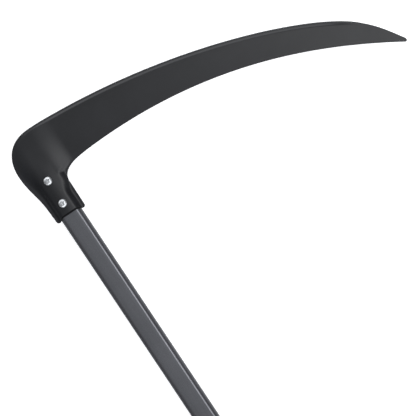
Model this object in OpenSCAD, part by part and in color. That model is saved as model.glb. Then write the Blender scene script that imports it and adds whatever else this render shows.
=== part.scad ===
// Hand scythe: a pressed steel head bolted on a straight tube handle, with a
// ribbed end grip and a side grip that clamps on the handle.
// The handle runs along +Y from the hanging hole, which is the origin, to the head.
// The blade reaches along +X and its face with the rib looks along +Z.

/* [Handle] */
// Length of the tube
tube_len = 1100; // [900:10:1400]
// Width of the tube
tube_w = 25; // [24:0.5:28]
// Depth of the tube
tube_d = 20; // [19:0.5:24]
// Radius of the tube's corners
tube_r = 5; // [4:0.5:8]
// Wall of the tube
tube_wall = 1.5; // [1:0.1:2]
// From the hanging hole to the tube's end
cap_reach = 18; // [16:1:24]

/* [Blade] */
// Thickness of the sheet
sheet_t = 1.5; // [1.2:0.1:2]
// Height of the saddle's crown over the flat web, without its arch
crown_h = 4; // [3.5:0.1:5]
// Rise of the crown's arch in the middle
arch_h = 1.2; // [0.4:0.1:1.5]
// Height of the rib along the back
rib_h = 1.8; // [1:0.1:3]
// Width of the rib
rib_w = 5; // [4:0.1:6]
// Width of the ground bevel
bevel_w = 7; // [4:0.5:9]
// Thickness left at the cutting edge
edge_t = 0.5; // [0.3:0.1:1]
// From the saddle's mouth to the end of the tube under the heel
tube_in_head = 50; // [48:1:54]
// Set-back of the crown's rim behind the flange ends
rim_setback = 2.5; // [0:0.5:4]
// How far the crown's rim slopes back from its lower to its upper edge
rim_slope = 1.8; // [0:0.1:2]

/* [Blade screws] */
// From the saddle's mouth to the lower screw
screw_y = 14; // [12:0.5:16]
// Distance between the two screws
screw_pitch = 29; // [26:0.5:30]

/* [End grip] */
// Length of the rubber sleeve
grip_len = 190; // [140:5:260]
// Thickness of the rubber
grip_wall = 4; // [3:0.5:6]
// Number of grooves
grip_grooves = 14; // [4:1:16]

/* [Side grip] */
// Place of the side grip, from the hanging hole
side_grip_y = 560; // [420:5:660]
// Length of the clamp along the handle
clamp_len = 36; // [30:1:44]
// Wall of the clamp over the tube
clamp_wall = 5; // [4:0.5:6]
// Length of the side grip's handle
side_grip_len = 108; // [90:2:130]
// Height of the tilt axis over the middle of the tube
pivot_z = 32; // [31:1:36]

/* [Hidden] */
$fn = 64;
eps = 0.01;

// Places along the handle
tube_end_y = cap_reach + tube_len;
head_y = tube_end_y - tube_in_head;
crown_z = tube_d / 2 + sheet_t + arch_h;
web_z = tube_d / 2 + sheet_t - crown_h;
screw_places = [head_y + screw_y, head_y + screw_y + screw_pitch];

// M5 screws, nuts and washers
m5_r = 2.5;
m5_clear_r = 2.75;
m5_nut_r = 2.55;
m5_head_r = 4.8;
m5_head_h = 3.4;
m5_dome_r = 7.2;
m5_washer_r = 5;
m5_washer_h = 1;
m5_nut_af = 8;
m5_nut_h = 4;
m5_collar_r = 3.7;
m5_collar_h = 1.4;
m5_collar_in = 1;
m5_ring_r = 3.1;
m5_ring_gap = 0.02;
nut_corner = 0.62;
thread_pitch = 0.8;
thread_depth = 0.3;
threaded_share = 0.35;
screw_chamfer = 0.5;
screw_tip = 1.6;
recess_w = 1.2;
recess_len = 5.2;
recess_depth = 2.2;

// M6 tilt bolt with its washer and wing nut
m6_r = 3;
m6_bore_r = 3.08;
m6_head_af = 10;
m6_head_h = 4;
m6_washer_r = 7;
m6_washer_h = 1.2;
m6_play = 0.1;
wing_hub_r = 6;
wing_hub_h = 8;
wing_r = 15;
wing_t = 2.6;
wing_h = 12;
wing_tip_h = 5;
wing_step = 1;

// Plug and cap in the tube
plug_gap = 0.1;
plug_len = 56;
plug_inset = 1;
spigot_len = 30;
cap_flange_y = 4;
cap_tab_r = 11;
cap_tab_d = 12;
hang_r = 4;

// End grip
grip_gap = 0.05;
groove_depth = 1.1;
groove_w = 4;
grip_plain = 16;
flare_len = 6;
flare_over = 2.5;

// Clamp, fork and tilting post
clamp_gap = 0.3;
clamp_split = 1.2;
ear_w = 10;
ear_t = 6;
ear_x = tube_w / 2 + clamp_wall + ear_w / 2;
fork_gap = 0.3;
lug_t = 5;
lug_r = 11;
eye_r = 10.5;
eye_w = 10;
fork_x = eye_w / 2 + fork_gap;
post_r = 4.8;
post_len = 118;
side_grip_start = 18;
side_bore_gap = 0.05;
side_r = 13;
side_swell = 2.5;
swell_steps = 8;
swell_start = 4;
side_flange_r = 18;
side_flange_h = 5;
side_cap_h = 5;
side_cap_neck = 6;
side_cap_neck_r = 9;

// Outline of the head, from the saddle's mouth, x to the blade's side and y to the heel.
// Each leg is one cubic curve, given by its two ends and its two handles.
flange_end = -2;
flange_left = -17.7;
flange_right = 18.8;
flange_corner = 3;
neck_in = [19.1, 28];
neck_out = [-18.6, 20];
notch = [52.4, 48.5];
shoulder = [-24.8, 64];
heel_top = [13, 102.6];
back_start = [45, 101.3];
clip_point = [380.3, -3.1];
tip_in = [408.4, -46.2];
tip_out = [409.7, -41.2];
tip_end_in = [410.8, -44.4];
tip_end_out = [410.8, -44];
notch_curve = [neck_in, [17.7, 44.4], [34.6, 47.4], notch];
edge_curve = [notch, [214, 58.2], [329, 3.6], tip_in];
shoulder_curve = [neck_out, [-19.8, 36], [-24.7, 46], shoulder];
heel_curve = [shoulder, [-24.8, 88.8], [-10.4, 102.6], heel_top];
crest_curve = [heel_top, [24, 102.8], [35, 102.1], back_start];
back_curve = [back_start, [211, 89.7], [350, 29.5], clip_point];
clip_curve = [clip_point, [393.5, -15.5], [400.7, -27.5], tip_out];
tip_in_curve = [tip_in, [409.6, -46.6], [410.7, -45.4], tip_end_in];
tip_out_curve = [tip_out, [410.3, -42], [410.7, -43], tip_end_out];

// Where on the notch and on the cutting edge the legs of the outline meet
notch_neck = 0.35;
notch_heel = 0.7;
edge_clip = 0.93;

// Rows of each leg: flange corner, saddle, neck, heel, crest, blade, clip, tip
leg_rows = [4, 8, 10, 10, 6, 34, 8, 2];
blade_leg = 5;
rim_cols = 6;
web_cols = 14;
bevel_cols = 2;
cols = rim_cols + web_cols + bevel_cols;

// Right side of the crown: where its wall starts beside the tube and over the neck, and
// where its foot lies beside the tube, over the neck and across the heel
wall_top = 6;
wall_top_neck = 9.5;
wall_foot = 16;
wall_foot_neck = 21.5;
wall_foot_heel = 37;

// Left side of the crown, beside the tube and across the heel
left_top = 6.5;
left_top_heel = 3;
left_run = 8.5;
left_run_heel = 22;

// A wall with a power over 1 is flatter at its top and sharper at its foot
right_power = 2;
right_power_heel = 1.2;
left_power = 1.6;
left_power_heel = 1.3;

// The dome sinks by this share of its height over the heel
heel_sink = 0.7;

// Where each change along the handle starts and how long it takes, from the saddle's mouth
left_span = [25, 50];
top_span = [20, 20];
neck_span = [20, 16];
heel_span = [42, 8];
sink_span = [48, 48];
arch_span = [35, 40];
arch_half = 13;
arch_power = 1.5;

// Rib: shares of its width taken by its slope and by the rounding at the back,
// and where it starts and ends along x
rib_slope = 0.75;
rib_round = 0.3;
rib_drop = 0.4;
rib_start_span = [-14, 22];
rib_end_span = [338, 42];
// Share of the lower one of dome and rib that shows where they meet
blend_share = 0.35;
// From the flange ends to where the rim's set-back ends
setback_span = [flange_end, 20];

function total(v, n) = n == 0 ? 0 : v[n - 1] + total(v, n - 1);
rows = total(leg_rows, len(leg_rows));

function mix(a, b, s) = a + (b - a) * s;
function clamp01(s) = min(1, max(0, s));
function smooth(s) = let (c = clamp01(s)) c * c * (3 - 2 * c);
function cubic(p, s) =
    pow(1 - s, 3) * p[0] + 3 * s * pow(1 - s, 2) * p[1] + 3 * s * s * (1 - s) * p[2] + pow(s, 3) * p[3];

// How far the flange corner draws in at height s of the corner's rows
function corner_y(s) = flange_end + flange_corner * (1 - cos(90 * s));
function corner_in(s) = flange_corner * (1 - sin(90 * s));

function leg_of(row, leg = 0) =
    leg == len(leg_rows) - 1 || row <= total(leg_rows, leg + 1) ? leg : leg_of(row, leg + 1);
function leg_part(row, leg) = (row - total(leg_rows, leg)) / leg_rows[leg];

function inner_point(leg, s) =
    leg == 0 ? [flange_right - corner_in(s), corner_y(s)]
    : leg == 1 ? mix([flange_right, flange_end + flange_corner], neck_in, s)
    : leg == 2 ? cubic(notch_curve, notch_neck * s)
    : leg == 3 ? cubic(notch_curve, mix(notch_neck, notch_heel, s))
    : leg == 4 ? cubic(notch_curve, mix(notch_heel, 1, s))
    : leg == 5 ? cubic(edge_curve, edge_clip * s)
    : leg == 6 ? cubic(edge_curve, mix(edge_clip, 1, s))
    : cubic(tip_in_curve, s);

function outer_point(leg, s) =
    leg == 0 ? [flange_left + corner_in(s), corner_y(s)]
    : leg == 1 ? mix([flange_left, flange_end + flange_corner], neck_out, s)
    : leg == 2 ? cubic(shoulder_curve, s)
    : leg == 3 ? cubic(heel_curve, s)
    : leg == 4 ? cubic(crest_curve, s)
    : leg == 5 ? cubic(back_curve, s)
    : leg == 6 ? cubic(clip_curve, s)
    : cubic(tip_out_curve, s);

// Distance from the back of the sheet at each column: the rib's columns come
// first, then the web's, then the bevel's
function col_reach(col, width) =
    let (fit = min(1, width / (2 * (rib_w + bevel_w))), rib = rib_w * fit, bevel = bevel_w * fit)
    col <= rim_cols ? rib * col / rim_cols
    : col <= rim_cols + web_cols ? mix(rib, width - bevel, (col - rim_cols) / web_cols)
    : mix(width - bevel, width, (col - rim_cols - web_cols) / bevel_cols);

// 0 where the span starts, 1 where it ends, smooth between; a span is a start and a length
function ease(y, span) = smooth((y - span[0]) / span[1]);

// The crown over the tube widens past the tube's end into the heel's dome
function raised(x, y) =
    let (left_heel = ease(y, left_span),
        right_heel = ease(y, heel_span),
        top = mix(wall_top, wall_top_neck, ease(y, top_span)),
        foot = wall_foot + (wall_foot_neck - wall_foot) * ease(y, neck_span)
            + (wall_foot_heel - wall_foot_neck) * right_heel,
        right = smooth((x - top) / (foot - top)),
        left_start = -mix(left_top, left_top_heel, left_heel),
        left = smooth((left_start - x) / mix(left_run, left_run_heel, left_heel)))
    (1 - heel_sink * ease(y, sink_span))
        * (1 - pow(right, mix(right_power, right_power_heel, right_heel)))
        * (1 - pow(left, mix(left_power, left_power_heel, left_heel)));

// The crown's own arch across the handle, which ends in the heel
function arch(x, y) =
    pow(max(0, 1 - pow(x / arch_half, 2)), arch_power) * (1 - ease(y, arch_span));

// Rib along the back: it fades out round the heel and at the clip point
function rib(reach, x) =
    let (along = ease(x, rib_start_span) * (1 - ease(x, rib_end_span)),
        rise = smooth((rib_w - reach) / (rib_slope * rib_w)),
        round_over = 1 - rib_drop * pow(clamp01(1 - reach / (rib_round * rib_w)), 2))
    rib_h * along * rise * round_over;

function top_z(reach, x, y) =
    let (dome = crown_h * raised(x, y) + arch_h * arch(x, y), bead = rib(reach, x))
    web_z + max(dome, bead) + blend_share * min(dome, bead);

function sheet_point(row, col, below) =
    let (leg = leg_of(row),
        s = leg_part(row, leg),
        a = outer_point(leg, s),
        b = inner_point(leg, s),
        width = norm(b - a),
        reach = col_reach(col, width),
        p = mix(a, b, reach / width),
        mouth = raised(p[0], p[1]) * (1 - ease(p[1], setback_span)),
        back = mouth * (rim_setback + (below ? 0 : rim_slope)),
        bevel_in = (col - rim_cols - web_cols) / bevel_cols,
        ground = leg >= blade_leg ? clamp01(bevel_in) : 0,
        t = mix(sheet_t, edge_t, ground))
    [p[0], head_y + p[1] + back, top_z(reach, p[0], p[1]) - (below ? t : 0)];

module pressed_sheet() {
    n = cols + 1;
    layer = (rows + 1) * n;
    points = [for (below = [false, true], row = [0:rows], col = [0:cols]) sheet_point(row, col, below)];
    skin = [for (row = [0:rows - 1], col = [0:cols - 1])
        let (i = row * n + col) [i, i + 1, i + n + 1, i + n]];
    border = concat(
        [for (col = [0:cols - 1]) [col + 1, col]],
        [for (row = [0:rows - 1]) [row * n, row * n + n]],
        [for (col = [0:cols - 1]) [rows * n + col, rows * n + col + 1]],
        [for (row = [0:rows - 1]) [row * n + n + cols, row * n + cols]]);
    faces = concat(
        [for (f = skin) [f[0], f[1], f[2]]],
        [for (f = skin) [f[0], f[2], f[3]]],
        [for (f = skin) [layer + f[0], layer + f[2], layer + f[1]]],
        [for (f = skin) [layer + f[0], layer + f[3], layer + f[2]]],
        [for (e = border) [e[0], e[1], e[1] + layer]],
        [for (e = border) [e[0], e[1] + layer, e[0] + layer]]);
    polyhedron(points, faces);
}

module blade() {
    color([0.16, 0.165, 0.17])
    difference() {
        pressed_sheet();
        for (y = screw_places)
            translate([0, y, 0]) cylinder(r = m5_clear_r, h = 2 * crown_z);
    }
}

// Rounded rectangle, w along X and d along the other side
module rounded(w, d, r) {
    square([w - 2 * r, d], center = true);
    square([w, d - 2 * r], center = true);
    for (x = [-1, 1], y = [-1, 1])
        translate([x * (w / 2 - r), y * (d / 2 - r)]) circle(r = r);
}

// Stretches a flat outline along the handle, from y
module along_handle(y, len) {
    translate([0, y, 0]) rotate([-90, 0, 0]) linear_extrude(len) children();
}

module handle_tube() {
    color([0.42, 0.43, 0.46])
    difference() {
        along_handle(cap_reach, tube_len)
            difference() {
                rounded(tube_w, tube_d, tube_r);
                rounded(tube_w - 2 * tube_wall, tube_d - 2 * tube_wall, tube_r - tube_wall);
            }
        for (y = screw_places)
            translate([0, y, -tube_d]) cylinder(r = m5_clear_r, h = 2 * tube_d);
    }
}

module tube_plug() {
    inset = tube_wall + plug_gap;
    color([0.75, 0.7, 0.6])
    difference() {
        along_handle(tube_end_y - plug_len - plug_inset, plug_len)
            rounded(tube_w - 2 * inset, tube_d - 2 * inset, tube_r - inset);
        for (y = screw_places)
            translate([0, y, -tube_d]) cylinder(r = m5_clear_r, h = 2 * tube_d);
    }
}

// Pan-head machine screw with a cross recess, head upward, seat at z = 0
module pan_screw(len) {
    teeth = floor(threaded_share * len / thread_pitch);
    difference() {
        intersection() {
            cylinder(r = m5_head_r, h = m5_head_h);
            translate([0, 0, m5_head_h - m5_dome_r]) sphere(r = m5_dome_r);
        }
        for (a = [0, 90])
            rotate(a)
                translate([-recess_len / 2, -recess_w / 2, m5_head_h - recess_depth])
                    cube([recess_len, recess_w, recess_depth + eps]);
    }
    rotate_extrude()
        polygon(concat(
            [[0, eps], [0, -len], [m5_r - screw_chamfer, -len], [m5_r, -len + screw_chamfer]],
            [for (i = [0:teeth - 1], k = [0, 1])
                [m5_r - k * thread_depth, -len + screw_tip + (i + k / 2) * thread_pitch]],
            [[m5_r, -len + screw_tip + teeth * thread_pitch], [m5_r, eps]]));
}

module flat_washer() {
    difference() {
        cylinder(r = m5_washer_r, h = m5_washer_h);
        translate([0, 0, -eps]) cylinder(r = m5_clear_r, h = m5_washer_h + 2 * eps);
    }
}

module hexagon(af, h) {
    cylinder(r = af / 2 / cos(30), h = h, $fn = 6);
}

// Hexagon with its corners turned off on both ends
module turned_hexagon(af, h) {
    intersection() {
        hexagon(af, h);
        translate([0, 0, h / 2]) sphere(r = af * nut_corner);
    }
}

// Lock nut hanging down from its seat at z = 0, with a collar for its ring
module lock_nut() {
    difference() {
        union() {
            translate([0, 0, -m5_nut_h]) turned_hexagon(m5_nut_af, m5_nut_h);
            translate([0, 0, -m5_nut_h - m5_collar_h])
                cylinder(r = m5_collar_r, h = m5_collar_h + m5_collar_in);
        }
        translate([0, 0, -m5_nut_h - m5_collar_h - eps])
            cylinder(r = m5_nut_r, h = m5_nut_h + m5_collar_h + 2 * eps);
        translate([0, 0, -m5_nut_h - m5_collar_h - eps]) cylinder(r = m5_ring_r, h = m5_collar_h);
    }
}

module nut_ring() {
    translate([0, 0, -m5_nut_h - m5_collar_h])
        difference() {
            cylinder(r = m5_ring_r - m5_ring_gap, h = m5_collar_h - 2 * m5_ring_gap);
            translate([0, 0, -eps]) cylinder(r = m5_r + m5_ring_gap, h = m5_collar_h + 2 * eps);
        }
}

blade_screw_len = crown_z + tube_d / 2 + m5_washer_h + m5_nut_h + m5_collar_h + screw_tip;

module blade_screw(y) {
    color([0.82, 0.83, 0.84])
    translate([0, y, crown_z]) pan_screw(blade_screw_len);
}

module upper_blade_screw() {
    blade_screw(screw_places[1]);
}

module lower_blade_screw() {
    blade_screw(screw_places[0]);
}

module back_washer(y) {
    color([0.8, 0.8, 0.8])
    translate([0, y, -tube_d / 2 - m5_washer_h]) flat_washer();
}

module upper_washer() {
    back_washer(screw_places[1]);
}

module lower_washer() {
    back_washer(screw_places[0]);
}

module back_nut(y) {
    color([0.78, 0.78, 0.8])
    translate([0, y, -tube_d / 2 - m5_washer_h]) lock_nut();
}

module upper_lock_nut() {
    back_nut(screw_places[1]);
}

module lower_lock_nut() {
    back_nut(screw_places[0]);
}

module lock_nut_rings() {
    color([0.2, 0.35, 0.7])
    for (y = screw_places)
        translate([0, y, -tube_d / 2 - m5_washer_h]) nut_ring();
}

// Rubber sleeve with grooves and a flared stop at its front end
module end_grip() {
    w = tube_w + 2 * grip_wall;
    d = tube_d + 2 * grip_wall;
    r = tube_r + grip_wall;
    grooved = grip_len - 2 * grip_plain - flare_len;
    step = grooved / grip_grooves;
    color([0.1, 0.1, 0.1])
    difference() {
        union() {
            along_handle(cap_reach, grip_len) rounded(w, d, r);
            along_handle(cap_reach + grip_len - flare_len, flare_len)
                rounded(w + 2 * flare_over, d + 2 * flare_over, r + flare_over);
        }
        along_handle(cap_reach - eps, grip_len + 2 * eps)
            rounded(tube_w + 2 * grip_gap, tube_d + 2 * grip_gap, tube_r + grip_gap);
        for (i = [0:grip_grooves - 1])
            along_handle(cap_reach + grip_plain + (i + 0.5) * step - groove_w / 2, groove_w)
                difference() {
                    square([2 * w, 2 * d], center = true);
                    rounded(w - 2 * groove_depth, d - 2 * groove_depth, r - groove_depth);
                }
    }
}

// Plug with a flange over the tube's end and a tab for hanging
module end_cap() {
    inset = tube_wall + plug_gap;
    color([0.08, 0.08, 0.09])
    difference() {
        union() {
            along_handle(cap_reach, spigot_len)
                rounded(tube_w - 2 * inset, tube_d - 2 * inset, tube_r - inset);
            along_handle(cap_reach - cap_flange_y, cap_flange_y)
                rounded(tube_w + 2 * grip_wall, tube_d + 2 * grip_wall, tube_r + grip_wall);
            translate([0, 0, -cap_tab_d / 2]) cylinder(r = cap_tab_r, h = cap_tab_d);
            translate([-cap_tab_r, 0, -cap_tab_d / 2]) cube([2 * cap_tab_r, cap_reach, cap_tab_d]);
        }
        translate([0, 0, -cap_tab_d]) cylinder(r = hang_r, h = 2 * cap_tab_d);
    }
}

// One half of the clamp: side is 1 over the front of the tube and -1 behind it
module clamp_half(side) {
    w = tube_w + 2 * clamp_wall;
    d = tube_d + 2 * clamp_wall;
    along_handle(side_grip_y - clamp_len / 2, clamp_len)
        intersection() {
            translate([0, -side * (clamp_split / 2 + d)]) square([4 * w, 2 * d], center = true);
            difference() {
                union() {
                    rounded(w, d, tube_r + clamp_wall);
                    square([w + 2 * ear_w, 2 * ear_t + clamp_split], center = true);
                }
                rounded(tube_w + 2 * clamp_gap, tube_d + 2 * clamp_gap, tube_r + clamp_gap);
            }
        }
}

module clamp_bores() {
    for (x = [-1, 1])
        translate([x * ear_x, side_grip_y, -tube_d]) cylinder(r = m5_clear_r, h = 2 * tube_d);
}

// A plate of the fork, round about the tilt axis and down to the clamp
module fork_plate(x, foot) {
    translate([x, side_grip_y, pivot_z]) {
        rotate([0, 90, 0]) cylinder(r = lug_r, h = lug_t);
        translate([0, -lug_r, -foot]) cube([lug_t, 2 * lug_r, foot]);
    }
}

module clamp_front() {
    foot = pivot_z - tube_d / 2 - clamp_wall / 2;
    color([0.12, 0.12, 0.13])
    difference() {
        union() {
            clamp_half(1);
            fork_plate(fork_x, foot);
            fork_plate(-fork_x - lug_t, foot);
        }
        clamp_bores();
        translate([-tube_w, side_grip_y, pivot_z])
            rotate([0, 90, 0]) cylinder(r = m6_bore_r, h = 2 * tube_w);
    }
}

module clamp_rear() {
    color([0.12, 0.12, 0.13])
    difference() {
        clamp_half(-1);
        clamp_bores();
    }
}

clamp_ear_z = ear_t + clamp_split / 2;
clamp_screw_len = 2 * clamp_ear_z + m5_nut_h + screw_tip;

module clamp_screws() {
    color([0.82, 0.83, 0.84])
    for (x = [-1, 1])
        translate([x * ear_x, side_grip_y, clamp_ear_z]) pan_screw(clamp_screw_len);
}

module clamp_nuts() {
    color([0.78, 0.78, 0.8])
    for (x = [-1, 1])
        translate([x * ear_x, side_grip_y, -clamp_ear_z - m5_nut_h])
            difference() {
                turned_hexagon(m5_nut_af, m5_nut_h);
                translate([0, 0, -eps]) cylinder(r = m5_nut_r, h = m5_nut_h + 2 * eps);
            }
}

wing_nut_x = fork_x + lug_t + m6_washer_h + 2 * m6_play;
pivot_bolt_len = wing_nut_x + wing_hub_h + screw_tip + fork_x + lug_t;

// Hexagon bolt through the fork and the eye, head on the side away from the blade
module pivot_bolt() {
    color([0.8, 0.8, 0.82])
    translate([-fork_x - lug_t, side_grip_y, pivot_z])
        rotate([0, 90, 0]) {
            translate([0, 0, -m6_head_h]) turned_hexagon(m6_head_af, m6_head_h);
            translate([0, 0, -eps]) cylinder(r = m6_r, h = pivot_bolt_len);
        }
}

module grip_post() {
    color([0.75, 0.75, 0.77])
    difference() {
        translate([0, side_grip_y, pivot_z])
            union() {
                translate([-eye_w / 2, 0, 0]) rotate([0, 90, 0]) cylinder(r = eye_r, h = eye_w);
                cylinder(r = post_r, h = post_len);
            }
        translate([-eye_w, side_grip_y, pivot_z])
            rotate([0, 90, 0]) cylinder(r = m6_bore_r, h = 2 * eye_w);
    }
}

// Handle of the side grip: a flange below, a swell in the middle, a pocket for the cap
module side_grip() {
    top = side_grip_start + side_grip_len;
    foot = side_grip_start + side_flange_h + swell_start;
    swell = [for (i = [0:swell_steps]) let (s = i / swell_steps)
        [side_r + side_swell * sin(180 * s), mix(foot, top, s)]];
    color([0.1, 0.1, 0.1])
    translate([0, side_grip_y, pivot_z])
        rotate_extrude()
            polygon(concat(
                [[post_r + side_bore_gap, side_grip_start],
                    [side_flange_r, side_grip_start],
                    [side_flange_r, side_grip_start + side_flange_h]],
                swell,
                [[side_cap_neck_r, top],
                    [side_cap_neck_r, top - side_cap_neck],
                    [post_r + side_bore_gap, top - side_cap_neck]]));
}

// Domed cap pressed into the pocket over the post's end
module side_grip_cap() {
    top = side_grip_start + side_grip_len;
    color([0.08, 0.08, 0.09])
    translate([0, side_grip_y, pivot_z + top]) {
        translate([0, 0, -side_cap_neck + 2 * m6_play])
            cylinder(r = side_cap_neck_r - side_bore_gap, h = side_cap_neck);
        intersection() {
            translate([0, 0, m6_play]) cylinder(r = side_r, h = side_cap_h);
            translate([0, 0, side_cap_h - 2 * side_r]) sphere(r = 2 * side_r);
        }
    }
}

module grip_washer() {
    color([0.8, 0.8, 0.8])
    translate([fork_x + lug_t + m6_play, side_grip_y, pivot_z])
        rotate([0, 90, 0])
            difference() {
                cylinder(r = m6_washer_r, h = m6_washer_h);
                translate([0, 0, -eps]) cylinder(r = m6_bore_r, h = m6_washer_h + 2 * eps);
            }
}

// Hub with two thumb wings that lean outward
module wing_nut() {
    reach = wing_r - wing_hub_r / 2;
    wing = [[0, 0], [reach / 2, wing_step], [reach, wing_h - wing_tip_h], [reach - wing_step, wing_h],
        [reach / 2 + wing_step, wing_h], [wing_step, wing_hub_h - wing_step]];
    color([0.82, 0.83, 0.84])
    translate([wing_nut_x, side_grip_y, pivot_z])
        rotate([0, 90, 0])
            difference() {
                union() {
                    cylinder(r = wing_hub_r, h = wing_hub_h);
                    for (a = [0, 180])
                        rotate(a)
                            translate([wing_hub_r / 2, wing_t / 2, 0])
                                rotate([90, 0, 0])
                                    linear_extrude(wing_t)
                                        polygon(wing);
                }
                translate([0, 0, -eps]) cylinder(r = m6_bore_r, h = wing_hub_h + 2 * eps);
            }
}

blade();
handle_tube();
tube_plug();
upper_blade_screw();
lower_blade_screw();
upper_washer();
lower_washer();
upper_lock_nut();
lower_lock_nut();
lock_nut_rings();
end_grip();
end_cap();
clamp_front();
clamp_rear();
clamp_screws();
clamp_nuts();
pivot_bolt();
grip_post();
side_grip();
side_grip_cap();
grip_washer();
wing_nut();
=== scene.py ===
import math

import bpy
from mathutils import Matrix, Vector


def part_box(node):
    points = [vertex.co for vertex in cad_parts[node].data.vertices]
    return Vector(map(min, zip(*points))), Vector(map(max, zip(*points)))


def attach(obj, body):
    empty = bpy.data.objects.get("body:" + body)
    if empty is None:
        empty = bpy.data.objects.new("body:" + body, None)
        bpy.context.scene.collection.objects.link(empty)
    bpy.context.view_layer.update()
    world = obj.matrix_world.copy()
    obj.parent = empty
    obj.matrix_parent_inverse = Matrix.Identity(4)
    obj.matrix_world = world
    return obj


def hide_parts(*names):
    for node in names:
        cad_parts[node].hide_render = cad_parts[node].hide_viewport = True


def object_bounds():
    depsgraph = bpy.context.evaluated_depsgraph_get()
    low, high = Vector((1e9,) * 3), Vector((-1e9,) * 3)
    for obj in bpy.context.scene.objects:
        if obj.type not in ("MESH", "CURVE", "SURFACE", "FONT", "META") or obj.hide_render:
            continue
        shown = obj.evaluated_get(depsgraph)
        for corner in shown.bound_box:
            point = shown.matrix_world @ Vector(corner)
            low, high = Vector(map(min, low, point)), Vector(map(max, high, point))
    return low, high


# Hand scythe lying on its back: the handle runs along +Y to the head, the blade reaches along +X
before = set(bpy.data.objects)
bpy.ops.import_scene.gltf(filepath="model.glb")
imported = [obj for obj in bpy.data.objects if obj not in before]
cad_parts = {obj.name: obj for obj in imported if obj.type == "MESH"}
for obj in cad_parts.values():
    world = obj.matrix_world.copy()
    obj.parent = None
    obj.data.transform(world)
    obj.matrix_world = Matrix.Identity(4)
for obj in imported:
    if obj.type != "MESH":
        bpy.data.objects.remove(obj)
cadLow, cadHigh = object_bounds()
mm = 0.001
tubeLow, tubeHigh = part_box("handle_tube")
through = 60 * mm       # half the length of a cutter that goes right through a piece
past = 1 * mm           # how far other cutters reach beyond the face they start from
mergeGap = 0.002 * mm   # vertices closer than this are one
print("frame loaded")


def deselectAll():
    if bpy.context.object and bpy.context.object.mode != "OBJECT":
        bpy.ops.object.mode_set(mode="OBJECT")
    bpy.ops.object.select_all(action="DESELECT")


def pick(*pieces):
    deselectAll()
    for piece in pieces:
        piece.select_set(True)
    bpy.context.view_layer.objects.active = pieces[0]


def editPiece(piece, selectMode="EDGE"):
    pick(piece)
    bpy.ops.object.mode_set(mode="EDIT")
    bpy.ops.mesh.select_mode(type=selectMode)
    bpy.ops.mesh.select_all(action="SELECT")


# select by place, then carry on in edit mode
def editEdges(piece, test):
    editPiece(piece)
    bpy.ops.mesh.select_all(action="DESELECT")
    bpy.ops.object.mode_set(mode="OBJECT")
    verts = piece.data.vertices
    for edge in piece.data.edges:
        edge.select = test(*(verts[i].co for i in edge.vertices))
    bpy.ops.object.mode_set(mode="EDIT")


def editFaces(piece, test):
    editPiece(piece, "FACE")
    bpy.ops.mesh.select_all(action="DESELECT")
    bpy.ops.object.mode_set(mode="OBJECT")
    for face in piece.data.polygons:
        face.select = test(face)
    bpy.ops.object.mode_set(mode="EDIT")


def applyModifier(piece, kind, **settings):
    pick(piece)
    modifier = piece.modifiers.new(kind.title(), kind)
    for key, value in settings.items():
        setattr(modifier, key, value)
    bpy.ops.object.modifier_apply(modifier=modifier.name)


def cutAway(piece, cutter):
    applyModifier(piece, "BOOLEAN", operation="DIFFERENCE", solver="EXACT", object=cutter)
    bpy.data.objects.remove(cutter)


def softenEdges(piece, width, segments=2, angle=30):
    applyModifier(piece, "BEVEL", width=width, segments=segments, limit_method="ANGLE",
                  angle_limit=math.radians(angle), use_clamp_overlap=True)


def joinPieces(first, *others):
    pick(first, *others)
    bpy.ops.object.join()
    return bpy.context.object


# turn a half outline (radius, height) round an upright axis through centre
def turnOutline(outline, centre=(0, 0, 0), steps=48):
    deselectAll()
    bpy.ops.mesh.primitive_plane_add(size=1 * mm, location=(0, 0, 0))
    piece = bpy.context.object
    editPiece(piece, "VERT")
    bpy.ops.mesh.merge(type="CENTER")
    cx, cy, cz = centre
    bpy.ops.transform.translate(value=(cx + outline[0][0], cy, cz + outline[0][1]))
    for (r0, z0), (r1, z1) in zip(outline, outline[1:]):
        bpy.ops.mesh.extrude_region_move(TRANSFORM_OT_translate={"value": (r1 - r0, 0, z1 - z0)})
    bpy.ops.mesh.select_all(action="SELECT")
    bpy.ops.mesh.spin(steps=steps, angle=2 * math.pi, center=centre, axis=(0, 0, 1))
    bpy.ops.mesh.select_all(action="SELECT")
    bpy.ops.mesh.remove_doubles(threshold=mergeGap)
    bpy.ops.mesh.normals_make_consistent(inside=False)
    bpy.ops.object.mode_set(mode="OBJECT")
    return piece


# bar of rounded rectangular section along Y
def roundedBar(width, depth, radius, y0, y1, segments=10):
    deselectAll()
    bpy.ops.mesh.primitive_cube_add(size=1, location=(0, (y0 + y1) / 2, 0))
    piece = bpy.context.object
    piece.scale = (width, y1 - y0, depth)
    bpy.ops.object.transform_apply(location=True, rotation=True, scale=True)
    editEdges(piece, lambda a, b: abs(a.y - b.y) > 0.5 * (y1 - y0))
    bpy.ops.mesh.bevel(offset=radius, segments=segments, affect="EDGES")
    bpy.ops.object.mode_set(mode="OBJECT")
    return piece


# round rod along Z
def addRod(radius, low, high, place=(0, 0), vertices=48):
    deselectAll()
    bpy.ops.mesh.primitive_cylinder_add(vertices=vertices, radius=radius, depth=high - low,
                                        location=(*place, (low + high) / 2))
    bpy.ops.object.transform_apply(location=True, rotation=True, scale=True)
    return bpy.context.object


def addBlock(low, high):
    deselectAll()
    bpy.ops.mesh.primitive_cube_add(size=1, location=[(a + b) / 2 for a, b in zip(low, high)])
    block = bpy.context.object
    block.scale = [b - a for a, b in zip(low, high)]
    bpy.ops.object.transform_apply(location=True, rotation=True, scale=True)
    return block


def weld(piece, *others):
    for other in others:
        applyModifier(piece, "BOOLEAN", operation="UNION", solver="EXACT", object=other)
        bpy.data.objects.remove(other)
    return piece


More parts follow.
